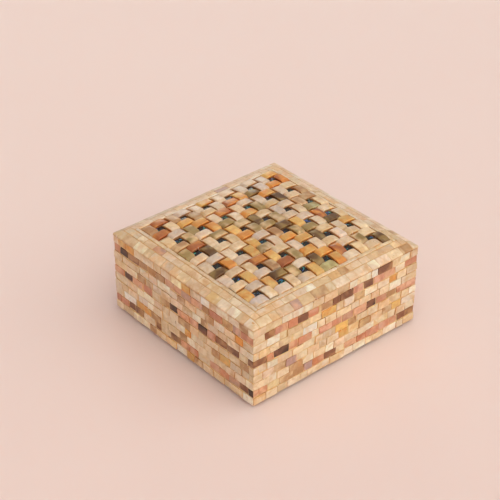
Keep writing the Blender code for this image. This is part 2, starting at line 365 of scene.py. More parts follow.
def cut_row(half_length, tile_length, rng, offset):
    """Joints of one row: even cuts moved by an offset and by chance, with both ends. A short end piece is
    joined to its neighbour."""
    count = max(2, round(2 * half_length / tile_length))
    pitch = 2 * half_length / count
    stray = rng.uniform(-CUT_STRAY, CUT_STRAY, count + 1)
    inside = -half_length + (np.arange(0, count + 1) + offset + stray) * pitch
    shortest = SHORTEST_END * pitch
    inside = inside[(inside > -half_length + shortest) & (inside < half_length - shortest)]
    return np.concatenate([[-half_length], inside, [half_length]])


def jitter(rng, spread, shape):
    """Normal numbers of a spread, none of them past the most that a tile strays."""
    return rng.normal(0, spread, shape).clip(-MOST_STRAY, MOST_STRAY)


def row_of_tiles(cuts, low, high, side, mix, rng, ends, gap, step, uneven):
    """Tiles of one row from its joints and from the lines low and high, which are functions of the place
    along. Ends are the edge radii at the first and last end, low and high."""
    sizes = bpy.context.scene.tile_sizes
    gap = gap / 2
    count = len(cuts) - 1
    stray = jitter(rng, sizes.wander * 0.45, (2, len(cuts)))
    stray[:, [0, -1]] = 0
    open_by = gap + np.abs(jitter(rng, uneven, (2, count)))
    left = cuts[:-1] + stray[:, :-1] + open_by
    right = cuts[1:] + stray[:, 1:] - open_by[::-1]
    lift = rng.normal(0, uneven, (2, count))[[0, 0, 1, 1]] + rng.normal(0, uneven / 2, (4, count))
    lift = np.abs(lift.clip(-MOST_STRAY, MOST_STRAY))
    along = np.stack([left[0], right[0], right[1], left[1]])
    lines = np.stack([low(left[0]), low(right[0]), high(right[1]), high(left[1])])
    inward = np.array([[1], [1], [-1], [-1]])
    corners = np.stack([along, lines + inward * gap + inward * lift], -1).swapaxes(0, 1)
    radii = sizes.edge * rng.uniform(0.75, 1.5, (count, 4))
    for edge, where in zip(ends, ((0, 0), (-1, 1), (slice(None), 2), (slice(None), 3))):
        if edge:
            radii[where] = edge
    tilt = rng.normal(0, TILT, (count, 2)).clip(-2 * TILT, 2 * TILT)
    reach = np.ptp(corners, axis=1) / 2
    level = -step * rng.beta(0.9, 2.4, count) - (np.abs(tilt) * reach).sum(1) * 0.7
    rounding = rng.uniform(0.04, 0.24, count) * MM
    return Tiles(corners, radii, np.full(count, side), level, tilt, rounding, picked(mix, count, rng))


def wavy_line(height, rng, amount):
    """A nearly straight line: two slow sine waves about a height."""
    phase = rng.uniform(0, 2 * math.pi, 2)
    size = rng.uniform(0.3, 1, 2) * amount

    def line(along):
        return height + size[0] * np.sin(along * 95 + phase[0]) + size[1] * np.sin(along * 210 + phase[1]) / 2

    return line


def grid_lines(middle, steps):
    """Lines across one direction of a tile: the share of the way along, how many edge radii in from the
    nearer end (negative at the far end), and how much of the rounded edge is left, from 1 at the rim to 0 on
    the face."""
    steps = np.array(steps)
    none = np.zeros(middle)
    share = np.concatenate([steps * 0, np.linspace(0, 1, middle + 2)[1:-1], steps * 0 + 1])
    inset = np.concatenate([steps, none, -steps[::-1]])
    left = np.clip(1 - steps, 0, 1)
    return share, inset, np.concatenate([left, none, left[::-1]])


def tile_surface(tiles, chart, depth, highest=0.0, middle=(1, 1), steps=RIM_STEPS, relief=None):
    """Vertices (n, k, 3), plan places in millimetres (n, k, 2), rim shares (n, k) and depths in millimetres
    below the top of the tile (n, k), with the quads and the cap of one tile. A grid covers the face: its
    plan blends the four corners, and near the rim it drops by r (1 - sqrt(1 - e^2)) for the edge radius r
    and the part e of the rounding that is left. Its corners are drawn in by s (1 - a/w)^2 (1 - b/w)^2 both
    ways, for the distances a and b in from two edges and the reach w. A skirt goes down to the depth, and a
    cap closes it. No point of the face stands above the highest level."""
    share_u, inset_u, edge_u = grid_lines(middle[0], steps)
    share_v, inset_v, edge_v = grid_lines(middle[1], RIM_STEPS)
    c, r = tiles.corners, tiles.radii
    length = np.linalg.norm(c[:, 1] - c[:, 0], axis=-1)[:, None]
    width = np.linalg.norm(c[:, 3] - c[:, 0], axis=-1)[:, None]
    r_u = np.where(share_u > 0.5, r[:, 1:2], r[:, :1])
    r_v = np.where(share_v > 0.5, r[:, 3:4], r[:, 2:3])
    u = (share_u + inset_u * r_u / length)[:, :, None]
    v = (share_v + inset_v * r_v / width)[:, None, :]
    e_u, e_v = edge_u[:, None], edge_v
    near_u = np.clip(1 - np.minimum(u, 1 - u) * length[:, :, None] / CORNER_REACH, 0, 1)
    near_v = np.clip(1 - np.minimum(v, 1 - v) * width[:, :, None] / CORNER_REACH, 0, 1)
    drawn = tiles.rounding[:, None, None] * (near_u * near_v) ** 2
    u = u + drawn / length[:, :, None] * np.sign(0.5 - share_u)[None, :, None]
    v = v + drawn / width[:, :, None] * np.sign(0.5 - share_v)[None, None, :]
    weights = np.stack([(1 - u) * (1 - v), u * (1 - v), u * v, (1 - u) * v], -1)
    plan = np.einsum("nijk,nkd->nijd", weights, c)
    both = e_u**2 + e_v**2
    left = np.clip(both, 0, 1)
    size = (r_u[:, :, None] * e_u**2 + r_v[:, None, :] * e_v**2) / np.maximum(both, 1e-9)
    drop = size * (1 - np.sqrt(1 - left))
    centre = c.mean(1)[:, None, :]
    lean = ((plan - centre[:, None]) * tiles.tilt[:, None, None, :]).sum(-1)
    height = tiles.level[:, None, None] + lean - drop
    if relief is not None:
        height = height + relief(u, v)
    n, rows, columns = height.shape
    ring = rim_loop(rows, columns)
    flat_plan = plan.reshape(n, -1, 2)
    all_plan = np.concatenate([flat_plan, flat_plan[:, ring]], 1)
    floor = np.broadcast_to(-depth, (n, len(ring)))
    all_height = np.concatenate([np.minimum(height, highest).reshape(n, -1), floor], 1)
    points = chart(all_plan[..., 0], all_plan[..., 1], all_height, tiles.quarters[:, None])
    place = (all_plan - centre) / MM
    rim_share = np.where(left > 0, np.clip(1 - (1 - left) * size / RIM_WIDTH, 0, 1), 0)
    rim = np.concatenate([rim_share.reshape(n, -1), np.ones((n, len(ring)))], 1)
    sunk = (all_height.max(1, keepdims=True) - all_height) / MM
    foot = rows * columns + np.arange(len(ring))
    quads = np.concatenate([grid_quads(rows, columns), ring_quads(ring, foot)])
    return points, place, rim, sunk, quads, foot[::-1]


def rim_loop(rows, columns):
    """Grid indices round the rim of a grid, anticlockwise seen from outside."""
    index = np.arange(rows * columns).reshape(rows, columns)
    return np.concatenate([index[:-1, 0], index[-1, :-1], index[:0:-1, -1], index[0, :0:-1]])


def grid_quads(rows, columns):
    """Quads of a grid, anticlockwise seen from outside."""
    index = np.arange(rows * columns).reshape(rows, columns)
    return np.stack([index[:-1, :-1], index[1:, :-1], index[1:, 1:], index[:-1, 1:]], -1).reshape(-1, 4)


def ring_quads(first, second):
    """Quads between two rings of indices, which run along the last axis."""
    return np.stack([first, second, np.roll(second, -1, -1), np.roll(first, -1, -1)], -1).reshape(-1, 4)


def build_mesh(name, points, quads, material, caps=NO_CAPS, **attributes):
    """A mesh object from arrays: quads (m, 4), caps (p, q) with q corners each, and attributes as values per
    vertex."""
    mesh = bpy.data.meshes.new(name)
    mesh.vertices.add(len(points))
    mesh.vertices.foreach_set("co", np.float32(points).ravel())
    corners = np.concatenate([quads.ravel(), caps.ravel()]).astype(np.int32)
    sizes = np.concatenate([np.full(len(quads), 4), np.full(len(caps), caps.shape[1])])
    mesh.loops.add(len(corners))
    mesh.loops.foreach_set("vertex_index", corners)
    mesh.polygons.add(len(sizes))
    mesh.polygons.foreach_set("loop_start", (np.cumsum(sizes) - sizes).astype(np.int32))
    mesh.polygons.foreach_set("use_smooth", np.full(len(sizes), True))
    mesh.update(calc_edges=True)
    if mesh.validate():
        raise RuntimeError(f"{name} has faces that are not valid")
    kinds = {1: ("FLOAT", "value"), 3: ("FLOAT_VECTOR", "vector"), 4: ("FLOAT_COLOR", "color")}
    for label, values in attributes.items():
        values = np.float32(values).reshape(len(points), -1)
        kind, key = kinds[values.shape[1]]
        mesh.attributes.new(label, kind, "POINT").data.foreach_set(key, values.ravel())
    mesh.materials.append(material)
    piece = bpy.data.objects.new(name, mesh)
    bpy.context.scene.collection.objects.link(piece)
    return piece


def colour_table(names, rng):
    """Linear colours (n, 4) of named shells, each a little lighter or darker and warmer or cooler."""
    colours = bpy.context.scene.shell_colours
    base = np.array([linear(getattr(colours, name)) for name in names])
    value = rng.normal(1, 0.07, (len(names), 1)).clip(0.8, 1.12)
    warmth = rng.normal(0, 0.075, (len(names), 1)) * np.array([0.3, 0, -1])
    return np.concatenate([np.clip(base * value * (1 + warmth), 0, 1), np.ones((len(names), 1))], 1)


def tile_piece(name, tiles, material, seed, chart, *size, worn=True, **shape):
    """One piece from a batch of tiles. Each vertex carries its tile's colour and cloud colour, its place on
    the shell that the tile was cut from, how near it is to the rim and how far below the top of its tile."""
    rng = np.random.default_rng(seed)
    points, place, rim, sunk, quads, cap = tile_surface(tiles, chart, *size, **shape)
    n, k, _ = points.shape
    if worn:
        points = worn_corners(points)
    tint = colour_table(tiles.colours, rng)
    cloud = colour_table([CLOUDS[colour] for colour in tiles.colours], rng)
    angle = rng.uniform(0, 2 * math.pi, n)[:, None]
    across = place[..., 0] * np.cos(angle) - place[..., 1] * np.sin(angle)
    up = place[..., 0] * np.sin(angle) + place[..., 1] * np.cos(angle)
    sheet = np.stack([across, up, np.zeros((n, k))], -1) + rng.uniform(-500, 500, (n, 1, 3))
    base = (np.arange(n) * k)[:, None, None]
    colours = dict(tint=np.repeat(tint, k, 0), cloud=np.repeat(cloud, k, 0))
    quads = (quads[None] + base).reshape(-1, 4)
    caps = cap[None] + base[:, 0]
    points = points.reshape(-1, 3)
    return build_mesh(name, points, quads, material, caps, **colours, sheet=sheet, rim=rim, sunk=sunk)


def slab(x, y, depth, bottom):
    """Points and quads of a slab over a grid in plan, from a depth to a bottom below the lid's skin."""
    skin = EDGE_Z + pillow(x, y)
    points = [np.stack([x, y, skin - below], -1).reshape(-1, 3) for below in (depth, bottom)]
    face = grid_quads(*x.shape)
    rim = rim_loop(*x.shape)
    quads = [face, face[:, ::-1] + x.size, ring_quads(rim, rim + x.size)]
    return np.concatenate(points), np.concatenate(quads)


def square_wall(face, inner):
    """Points and quads of a thin upright wall round the box: a closed profile carried round the square. The
    face is a line of half widths and heights from the bottom up, and the back is flat at the inner half
    width."""
    near = np.array([0, 0.3, 0.8, 2, 5]) * MM / HALF
    steps = np.concatenate([near - 1, np.linspace(-0.9, 0.9, 12), 1 - near[:0:-1]])
    profile = np.concatenate([face, [[inner, face[-1, 1]], [inner, face[0, 1]]]])
    quarters = np.repeat(np.arange(SIDES), len(steps))
    share = np.tile(steps, SIDES)[:, None]
    x, y = turned(share * profile[None, :, 0], -profile[None, :, 0] + 0 * share, quarters[:, None])
    points = np.stack([x, y, np.broadcast_to(profile[None, :, 1], x.shape)], -1)
    count, size = x.shape
    index = np.arange(count * size).reshape(count, size)
    return points.reshape(-1, 3), ring_quads(index, np.roll(index, -1, 0))


# Finishes


class Shade:
    """A value that varies over a surface. It wraps a socket, and an expression on it adds its Math nodes."""

    def __init__(self, tree, socket):
        self.tree = tree
        self.socket = socket

    def math(self, operation, *values):
        node = self.tree.nodes.new("ShaderNodeMath")
        node.operation = operation
        for socket, value in zip(node.inputs, values):
            if isinstance(value, Shade):
                self.tree.links.new(value.socket, socket)
            else:
                socket.default_value = value
        return Shade(self.tree, node.outputs[0])

    def __add__(self, other):
        return self.math("ADD", self, other)

    def __radd__(self, other):
        return self.math("ADD", other, self)

    def __sub__(self, other):
        return self.math("SUBTRACT", self, other)

    def __rsub__(self, other):
        return self.math("SUBTRACT", other, self)

    def __mul__(self, other):
        return self.math("MULTIPLY", self, other)

    def __rmul__(self, other):
        return self.math("MULTIPLY", other, self)

    def between(self, low, high):
        """0 at low and 1 at high, with a smooth step between them. Low may be the larger."""
        node = self.tree.nodes.new("ShaderNodeMapRange")
        node.interpolation_type = "SMOOTHSTEP"
        self.tree.links.new(self.socket, node.inputs["Value"])
        node.inputs["From Min"].default_value = low
        node.inputs["From Max"].default_value = high
        return Shade(self.tree, node.outputs["Result"])


class Finish:
    """A material in the making, with one method for any node."""

    def __init__(self, name, **constants):
        self.material = bpy.data.materials.new(name)
        self.material.use_nodes = True
        self.tree = self.material.node_tree
        self.shader = self.tree.nodes["Principled BSDF"]
        for socket, value in constants.items():
            self.shader.inputs[socket.replace("_", " ")].default_value = value

    def node(self, kind, settings=None, sockets=None, output=0):
        """Adds a node: settings first, such as a ramp's stops, then the values or links of its sockets."""
        node = self.tree.nodes.new(kind)
        for name, value in (settings or {}).items():
            if name == "stops":
                ramp = node.color_ramp
                while len(ramp.elements) < len(value):
                    ramp.elements.new(0.5)
                for element, (position, colour) in zip(ramp.elements, value):
                    element.position = position
                    element.color = rgba(colour)
            else:
                setattr(node, name, value)
        for name, value in (sockets or {}).items():
            if isinstance(value, Shade):
                self.tree.links.new(value.socket, node.inputs[name])
            else:
                node.inputs[name].default_value = value
        return Shade(self.tree, node.outputs[output])

    def attribute(self, name, output="Vector"):
        return self.node("ShaderNodeAttribute", {"attribute_name": name}, output=output)

    def noise(self, vector, scale, detail=2.0, roughness=0.5, distortion=0.0):
        sockets = {"Vector": vector, "Scale": scale, "Detail": detail, "Roughness": roughness}
        return self.node("ShaderNodeTexNoise", {}, {**sockets, "Distortion": distortion})

    def wave(self, vector, direction, sockets):
        settings = {"wave_type": "BANDS", "bands_direction": direction, "wave_profile": "SIN"}
        return self.node("ShaderNodeTexWave", settings, {"Vector": vector, **sockets}, output="Fac")

    def bump(self, height, strength=0.3, distance=0.0001):
        sockets = {"Strength": strength, "Distance": distance, "Height": height}
        return self.node("ShaderNodeBump", {}, sockets, output="Normal")

    def blend(self, factor, first, second, mode="MIX"):
        """Colours mixed by a factor."""
        settings = {"data_type": "RGBA", "blend_type": mode}
        return self.node("ShaderNodeMix", settings, {0: factor, 6: first, 7: second}, output=2)

    def feed(self, **links):
        """Links shades to the shader's sockets."""
        for name, shade in links.items():
            self.tree.links.new(shade.socket, self.shader.inputs[name.replace("_", " ")])
        return self.material


def rgba(colour):
    """A linear colour with alpha from one given as the screen shows it."""
    return (*[float(v) for v in linear(colour)], 1.0)


def shell_finish(name, rim_strength, wall_glow_tint, sunk_range, scatter=0.0016):
    """Ground and polished shell: its own colour running into that of its clouds, faint growth lines, brighter
    patches that are partly painted soft highlights, a few small pits with stains, an amber tinge where the
    shell thins that is also painted shade on the low ends and walls, light specks near the rims that are
    chipped edges and painted glints, and a clear coat. The tint of the walls multiplies the colour of a
    tile's walls, partly the amber of the shell's edge and partly a painted glow of light through it, and a
    tile turns amber and darker over the sunk range, in millimetres."""
    coat = {"Coat_Weight": 0.2, "Coat_Roughness": 0.08, "Specular_IOR_Level": 0.3}
    inside = {"Subsurface_Weight": 0.5, "Subsurface_Scale": scatter, "Subsurface_Radius": (1.0, 0.72, 0.5)}
    finish = Finish(name, **coat, **inside)
    sheet = finish.attribute("sheet")
    tint = finish.attribute("tint", "Color")
    cloud = finish.attribute("cloud", "Color")
    rim = finish.attribute("rim", "Fac")
    sunk = finish.attribute("sunk", "Fac")
    patches = finish.noise(sheet, 0.1, 1.5, 0.45, 0.6)
    smoke = finish.noise(sheet, 0.21, 2, 0.5, 0.8)
    growth = finish.wave(sheet, "X", {"Scale": 0.11, "Distortion": 3.0, "Detail": 2.0, "Detail Scale": 0.12})
    fibres = finish.noise(sheet, 1.4, 3, 0.6)
    pits = finish.node("ShaderNodeTexVoronoi", {"feature": "F1"}, {"Vector": sheet, "Scale": 0.36})
    worn = finish.noise(sheet, 0.07, 1)
    stain = pits.between(0.14, 0.05) * worn.between(0.6, 0.68)
    # Painted shade: darker and more amber the further below the top of its tile, on the low ends and walls,
    # partly the amber of the shell where it thins
    thin_and_shaded = sunk.between(*sunk_range) * (0.75 + smoke * 0.4)
    colour = finish.blend(patches.between(0.4, 0.66) * 0.85, tint, cloud)
    for factor, multiplier in (
        (growth.between(0.6, 0.0) * 0.1, rgba((0.88, 0.76, 0.62))),
        (smoke.between(0.48, 0.7) * 0.35, rgba((0.90, 0.77, 0.62))),
        # Painted soft highlights: brighter patches in the smoke, partly the shell's own paler tone
        (smoke.between(0.46, 0.28), (1.14, 1.12, 1.1, 1.0)),
        (stain * 0.7, rgba((0.52, 0.33, 0.20))),
        (thin_and_shaded, rgba((0.94, 0.82, 0.64))),
        (rim.between(0.2, 1.0) * rim_strength * fibres.between(0.3, 0.55), rgba((0.86, 0.68, 0.48))),
        # Painted glow: the tint of a tile's walls, partly the amber of the shell's edge and partly light
        # through the shell
        (rim.between(0.92, 1.0), wall_glow_tint),
    ):
        colour = finish.blend(factor, colour, multiplier, "MULTIPLY")
    # Painted glints: light specks near the rims, which also read as chipped edges
    chips_and_glints = finish.noise(sheet, 0.9, 2, 0.6).between(0.66, 0.7) * rim.between(0.05, 0.3)
    colour = finish.blend(chips_and_glints * 0.8, colour, rgba((0.97, 0.91, 0.84)))
    gloss = 0.26 + patches * 0.14 + stain * 0.3
    bump = finish.bump(fibres * 0.5 - stain, 0.1, 0.00006)
    return finish.feed(Base_Color=colour, Roughness=gloss, Normal=bump)


def resin_finish(name, colour, darkest=1.0):
    """Amber resin with bubbles and darker runs."""
    finish = Finish(name, Coat_Weight=0.2, Subsurface_Weight=0.3, Subsurface_Scale=0.001)
    place = finish.node("ShaderNodeTexCoord", output="Object")
    runs = finish.noise(place, 110, 2)
    specks = finish.noise(place, 900, 2)
    dark = tuple(v * share for v, share in zip(rgba(colour), (0.42, 0.27, 0.2, 1.0)))
    mixed = finish.blend(runs.between(0.54, 0.66) * darkest, rgba(colour), dark)
    return finish.feed(Base_Color=mixed, Roughness=0.3 + specks * 0.3, Normal=finish.bump(specks))


def paua_finish():
    """Dark paua: nearly black, with wavy bands in teal, blue, violet and green that light up in patches."""
    finish = Finish("paua", Coat_Weight=0.35, Coat_Roughness=0.1)
    sheet = finish.attribute("sheet")
    rim = finish.attribute("rim", "Fac")
    warp = finish.noise(sheet, 0.12, 1, 0.5, 0.8)
    sockets = {"Scale": 0.1, "Distortion": 5.0, "Detail": 1.5, "Detail Scale": 0.3}
    layers = finish.wave(sheet, "DIAGONAL", sockets)
    stops = [
        (0.0, (0.22, 0.18, 0.42)),
        (0.3, (0.30, 0.40, 0.72)),
        (0.48, (0.20, 0.66, 0.68)),
        (0.62, (0.34, 0.70, 0.52)),
        (0.78, (0.54, 0.38, 0.66)),
        (1.0, (0.20, 0.40, 0.46)),
    ]
    hue = finish.node("ShaderNodeValToRGB", {"stops": stops}, {"Fac": layers * 0.3 + warp * 0.75})
    lit = finish.noise(sheet, 0.3, 1.5, 0.5, 1.2)
    colour = finish.blend(lit.between(0.56, 0.68), rgba((0.06, 0.04, 0.045)), hue)
    colour = finish.blend(rim * 0.5, colour, rgba((0.2, 0.14, 0.1)))
    metal = lit.between(0.56, 0.7) * 0.4
    gloss = 0.2 + warp * 0.15
    return finish.feed(Base_Color=colour, Metallic=metal, Roughness=gloss, Normal=finish.bump(layers))


def wood_finish():
    """Wood with a dark stain and its grain along X, and its foot painted nearly black as painted shade of the
    gap under the box.
    """
    colours = bpy.context.scene.shell_colours
    finish = Finish("stained_wood", Coat_Weight=0.1)
    place = finish.node("ShaderNodeTexCoord", output="Object")
    drawn = finish.node("ShaderNodeMapping", {}, {"Vector": place, "Scale": (12.0, 160.0, 160.0)})
    grain = finish.noise(drawn, 1.0, 5, 0.6, 0.4)
    pores = finish.noise(drawn, 7.0, 2)
    colour = finish.blend(grain.between(0.38, 0.66), rgba(colours.wood), rgba(colours.grain))
    colour = finish.blend(pores.between(0.6, 0.75) * 0.5, colour, rgba(colours.grain))
    height = finish.node("ShaderNodeSeparateXYZ", {}, {"Vector": place}, output=2)
    # Painted shade: the foot is nearly black with a purple cast, standing in for the shade of the gap under
    # the box
    colour = finish.blend(height.between(0.0022, 0.0018), colour, rgba((0.12, 0.09, 0.12)))
    bump = finish.bump(pores, distance=0.0002)
    return finish.feed(Base_Color=colour, Roughness=0.45 + grain * 0.25, Normal=bump)


# Pieces


def side_tiles(courses, last_line, rng):
    """Tiles of some courses on all four sides. Neighbouring courses share a wavy joint, and the first and
    last lines are straight."""
    sizes = bpy.context.scene.tile_sizes
    lines = []
    for side in range(SIDES):
        levels = [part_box(node)[0][2] - HALF_GAP for node in courses] + [last_line]
        row = [wavy_line(z, rng, sizes.wander) for z in levels]
        row[0] = wavy_line(levels[0] + CLEARANCE, rng, 0)
        row[-1] = wavy_line(levels[-1], rng, 0)
        lines.append(row)
    batches = []
    for k, node in enumerate(courses):
        mix = ROSE_ROW if node in ROSE_BANDS else CREAM_ROW
        offset = rng.uniform(-0.5, 0.5)
        for side in range(SIDES):
            cuts = cut_row(HALF, sizes.length, rng, offset + rng.uniform(-0.15, 0.15))
            cuts[[0, -1]] += np.array([1, -1]) * rng.uniform(*MITRE_GAP, 2)
            low, high = lines[side][k : k + 2]
            gap, step = sizes.joint, sizes.step
            row = row_of_tiles(cuts, low, high, side, mix, rng, SIDE_ENDS, gap, step, SIDE_UNEVEN)
            row.level = np.maximum(row.level - sizes.band_depth * (node in ROSE_BANDS), -MOST_SUNK)
            batches.append(row)
    return Tiles.joined(batches)


def side_resin(name, courses, low, high, material):
    """Resin behind and between the tiles of the sides, deeper behind the bands that lie back."""
    back = bpy.context.scene.tile_sizes.band_depth
    levels = np.array([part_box(node)[0][2] for node in courses] + [high])
    levels[0] = low
    depth = SIDE_RESIN_DEPTH + 0.4 * back * np.array([node in ROSE_BANDS for node in courses])
    heights = np.stack([levels[:-1] + SEAM_GAP, levels[1:] - SEAM_GAP], -1).ravel()
    heights[[0, -1]] = low, high
    face = np.stack([HALF - np.repeat(depth, 2), heights], -1)
    points, quads = square_wall(face, WOOD_HALF + CLEARANCE / 2)
    return build_mesh(name, worn_corners(points), quads, material)


class SHELLBOX_OT_sides(bpy.types.Operator):
    """Lay the courses of brick tiles round the body and the lid"""

    bl_idname = "shellbox.sides"
    bl_label = "Sides"

    def execute(self, context):
        sizes = context.scene.tile_sizes
        finish = shell_finish("ground_shell", 0.08, (1.02, 0.86, 0.66, 1), (0.6, 1.3))
        resin = resin_finish("joint_resin", context.scene.shell_colours.resin)
        for owner, courses, last, seed in (
            ("body", BODY_COURSES, SEAM_Z - SEAM_GAP, 13),
            ("lid", LID_COURSES, BORDER_Z - CLEARANCE, 14),
        ):
            rng = np.random.default_rng(seed)
            tiles = side_tiles(courses, last, rng)
            piece = tile_piece(f"{owner}_side_tiles", tiles, finish, seed, on_wall, sizes.depth)
            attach(piece, "root")
            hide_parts(*courses)
            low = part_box(courses[0])[0][2] + CLEARANCE
            bed = side_resin(f"{owner}_side_resin", courses, low, last - CLEARANCE, resin)
            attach(bed, "root")
        return {"FINISHED"}


class SHELLBOX_OT_border(bpy.types.Operator):
    """Lay the two rows of tiles and the narrow slips round the top of the lid"""

    bl_idname = "shellbox.border"
    bl_label = "Border"

    def execute(self, context):
        sizes = context.scene.tile_sizes
        rng = np.random.default_rng(21)
        batches = []
        slips = HALF - SLIP_HALF - SLIP_OVERHANG
        rows = (
            (0.0, ROW_WIDTH, sizes.length, BORDER_ROW, 0.0),
            (HALF - INNER_ROW_HALF, ROW_WIDTH - SLIP_OVERHANG, sizes.length, BORDER_ROW, 0.0),
            (slips, sizes.slip_width, sizes.slip_length, SLIP_ROW, sizes.slip_proud),
        )
        for k, (start, width, length, mix, proud) in enumerate(rows):
            low = wavy_line(start - 0.55 * sizes.joint if start == 0 else start, rng, 0)
            high = wavy_line(start + width, rng, sizes.wander * 0.4)
            for side in range(SIDES):
                through = side % 2 == 0
                half = HALF - start if through else HALF - start - width - sizes.joint
                cuts = cut_row(half, length, rng, rng.uniform(-0.3, 0.3))
                worn = sizes.lid_edge if k == 0 else None
                end = worn if through else None
                ends = (end, end, worn, None)
                gap, step = 1.2 * sizes.joint, sizes.border_step
                row = row_of_tiles(cuts, low, high, side, mix, rng, ends, gap, step, BORDER_UNEVEN)
                row.level += proud
                batches.append(row)
        tiles = Tiles.joined(batches)
        finish = shell_finish("border_shell", 0.12, (1.0, 0.88, 0.74, 1), (0.6, 2.2))
        size = (BORDER_THICKNESS, sizes.slip_proud)
        piece = tile_piece("border_tiles", tiles, finish, 22, on_lid, *size, middle=(2, 1))
        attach(piece, "root")
        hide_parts("border_outer", "border_inner", "border_slips")
        return {"FINISHED"}


def pinwheel_corners():
    """Low corners (n, 2) of the pinwheels, and their pitch."""
    repeats = bpy.context.scene.woven_panel.repeats
    pitch = 2 * PANEL_HALF / repeats
    first = -PANEL_HALF + np.arange(repeats) * pitch
    return np.stack(np.meshgrid(first, first, indexing="ij"), -1).reshape(-1, 2), pitch


def pinwheel_tiles(rng):
    """Crowned tiles of the whole panel. Four turn round each paua square: left, back, right and front."""
    panel = bpy.context.scene.woven_panel
    corner, pitch = pinwheel_corners()
    cuts = np.array([0, panel.share, 1 - panel.share, 1]) * pitch
    places = np.array([(0, 1, 1, 3), (1, 2, 3, 3), (2, 0, 3, 2), (0, 0, 2, 1)])
    low = (corner[:, None] + cuts[places[:, :2]] + panel.joint / 2).reshape(-1, 2)
    high = (corner[:, None] + cuts[places[:, 2:]] - panel.joint / 2).reshape(-1, 2)
    count = len(low)
    corners = rectangles(low, high)
    upright = np.diff(high - low)[:, 0] > 0
    corners[upright] = np.roll(corners[upright], -1, 1)
    corners += rng.normal(0, PANEL_STRAY, corners.shape)
    radii = np.array([END_EDGE, END_EDGE, panel.edge, panel.edge]) * rng.uniform(0.7, 1.3, (count, 4))
    level = rng.normal(0, PANEL_UNEVEN, count)
    tilt = rng.normal(0, 0.014, (count, 2))
    rounding = rng.uniform(0.08, 0.26, count) * MM
    return Tiles(corners, radii, np.zeros(count, int), level, tilt, rounding, picked(PANEL, count, rng))


def on_panel(x, y, height, quarters):
    """Points over the panel: a height above the lid's skin, kept under the top of the CAD model."""
    z = EDGE_Z + pillow(x, y) + height
    return np.stack([x, y, np.minimum(z, CAD_HIGH[2] - TOP_GAP)], -1)


class SHELLBOX_OT_woven_panel(bpy.types.Operator):
    """Lay the crowned tiles of the panel as pinwheels"""

    bl_idname = "shellbox.woven_panel"
    bl_label = "Woven panel"

    def execute(self, context):
        panel = context.scene.woven_panel
        rng = np.random.default_rng(31)
        tiles = pinwheel_tiles(rng)
        count = len(tiles.level)
        power = rng.uniform(1.9, 2.8, (count, 1, 1))
        facet = rng.uniform(0.22, 0.5, (2, count, 1, 1))
        flat = rng.choice([0.0, 0.5, 1.0], (count, 1, 1), p=[0.05, 0.15, 0.8])
        crown = panel.crown + rng.normal(0, CROWN_UNEVEN, (count, 1, 1))

        def arch(u, v):
            """From the low ends up to the crown: 1 - q^p where q runs from 0 in the middle to 1 at an end,
            mixed with a flat top that has straight bevels, and slightly rounded across."""
            q = np.clip(np.abs(2 * u - 1), 0, 1)
            reach = np.where(u < 0.5, *facet)
            bevelled = 1 - np.clip(q - 1 + reach, 0, 1) / reach
            profile = (1 - flat) * (1 - q**power) + flat * bevelled
            return -panel.end_height + (crown + panel.end_height) * profile - CROSS_DROP * (2 * v - 1) ** 2

        finish = shell_finish("crowned_shell", 0.1, (1.06, 0.84, 0.58, 1), (0.7, 2.2), 0.002)
        size = (panel.floor_depth + CLEARANCE, 1.0, (23, 1), (0.0, 1.0, 3.0), arch)
        piece = tile_piece("woven_panel", tiles, finish, 32, on_panel, *size, worn=False)
        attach(piece, "root")
        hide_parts("woven_tiles")
        return {"FINISHED"}


class SHELLBOX_OT_paua(bpy.types.Operator):
    """Lay the dark paua squares in the middles of the pinwheels"""

    bl_idname = "shellbox.paua"
    bl_label = "Paua squares"

    def execute(self, context):
        panel = context.scene.woven_panel
        rng = np.random.default_rng(41)
        corner, pitch = pinwheel_corners()
        low = corner + panel.share * pitch + panel.joint / 2
        high = corner + (1 - panel.share) * pitch - panel.joint / 2
        corners = rectangles(low, high)
        count = len(corners)
        tiles = Tiles(
            corners + rng.normal(0, PAUA_STRAY, corners.shape),
            np.full((count, 4), PAUA_EDGE),
            np.zeros(count, int),
            -panel.paua_depth + rng.normal(0, PAUA_UNEVEN, count),
            rng.normal(0, 0.01, (count, 2)),
            np.zeros(count),
            np.full(count, "umber"),
        )
        piece = tile_piece("paua_tiles", tiles, paua_finish(), 42, on_panel, PAUA_THICKNESS, worn=False)
        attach(piece, "root")
        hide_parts("paua_squares")
        return {"FINISHED"}


def border_bed():
    """Points and quads of the border's resin, which follows the worn edge and drops under the panel."""
    rows = HALF - np.array([0.3, 0.8, 2, 3, 4.5, 6.05, 8, 10, 12.25]) * MM
    half_lines = np.concatenate([rows, [PANEL_HALF + CLEARANCE, PANEL_HALF - CLEARANCE]])
    lines = np.concatenate([-half_lines, np.linspace(-0.95, 0.95, 40) * PANEL_HALF, half_lines[::-1]])
    x, y = np.meshgrid(lines, lines, indexing="ij")
    outward = np.maximum(np.abs(x), np.abs(y))
    worn = bpy.context.scene.tile_sizes.lid_edge * 1.1
    past = np.clip(outward - (HALF - worn), 0, worn) / worn
    drop = BORDER_RESIN_DEPTH + worn * (1 - np.sqrt(1 - past**2))
    depth = np.where(outward < PANEL_HALF, BED_DEPTH, np.minimum(drop, BED_DEPTH))
    return slab(x, y, depth, BED_BOTTOM)


